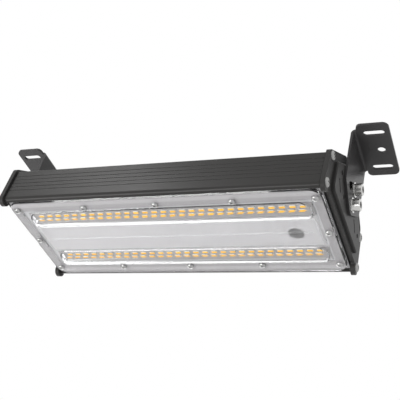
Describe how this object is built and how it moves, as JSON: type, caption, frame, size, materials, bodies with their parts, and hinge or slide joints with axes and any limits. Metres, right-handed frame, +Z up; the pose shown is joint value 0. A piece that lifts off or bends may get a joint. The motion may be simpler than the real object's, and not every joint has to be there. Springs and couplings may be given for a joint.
{
  "type": "high bay light",
  "caption": "Long ceiling light: ribbed extruded housing, cast end caps, clear cover with lens bars over LED strips, and a tilting fixing bracket at each end.",
  "frame": {"origin": "middle of the ceiling plane, which the tops of both bracket flanges touch", "axes": "+Z up into the ceiling, +X along the light to its right end, -Y to its front"},
  "size_m": [0.3456, 0.1278, 0.0881],
  "materials": {
    "housing_paint": "charcoal powder coat, satin",
    "cap_paint": "charcoal powder coat on a casting",
    "bracket_paint": "charcoal powder coat, satin",
    "steel": "zinc plated",
    "clear_cover": "clear moulded plastic",
    "seal_rubber": "matt black",
    "lens_seal": "soft white",
    "white_board": "white solder mask",
    "led": "yellow phosphor",
    "white_sheet": "matt white",
    "driver_metal": "plain folded sheet",
    "terminal_plastic": "pale cream",
    "gland_plastic": "black"
  },
  "bodies": {
    "light": {"housing": "housing_paint", "left_end_cap": "cap_paint", "right_end_cap": "cap_paint", "left_cap_gasket": "seal_rubber", "right_cap_gasket": "seal_rubber", "left_cap_screws": "steel", "right_cap_screws": "steel", "lens_cover": "clear_cover", "lens_gasket": "lens_seal", "lens_screws": "steel", "front_led_board": "white_board", "rear_led_board": "white_board", "front_leds": "led", "rear_leds": "led", "center_sheet": "white_sheet", "wire_grommet": "seal_rubber", "driver_base": "driver_metal", "driver_case": "driver_metal", "driver_screws": "steel", "terminal_block": "terminal_plastic", "gland_body": "gland_plastic", "gland_seal": "seal_rubber", "gland_nut": "gland_plastic", "gland_locknut": "gland_plastic", "left_pivot_bolt": "steel", "left_lock_bolt": "steel", "left_pivot_washer": "steel", "left_lock_washer": "steel", "right_pivot_bolt": "steel", "right_lock_bolt": "steel", "right_pivot_washer": "steel", "right_lock_washer": "steel"},
    "left_bracket": {"left_bracket": "bracket_paint"},
    "right_bracket": {"right_bracket": "bracket_paint"}
  },
  "joints": [
    {"name": "left_tilt", "type": "hinge", "parent": "light", "child": "left_bracket", "pos_m": [-0.144, 0, -0.0579], "axis": [1, 0, 0], "range_deg": [-45, 45]},
    {"name": "right_tilt", "type": "hinge", "parent": "light", "child": "right_bracket", "pos_m": [0.144, 0, -0.0579], "axis": [1, 0, 0], "range_deg": [-45, 45]}
  ]
}
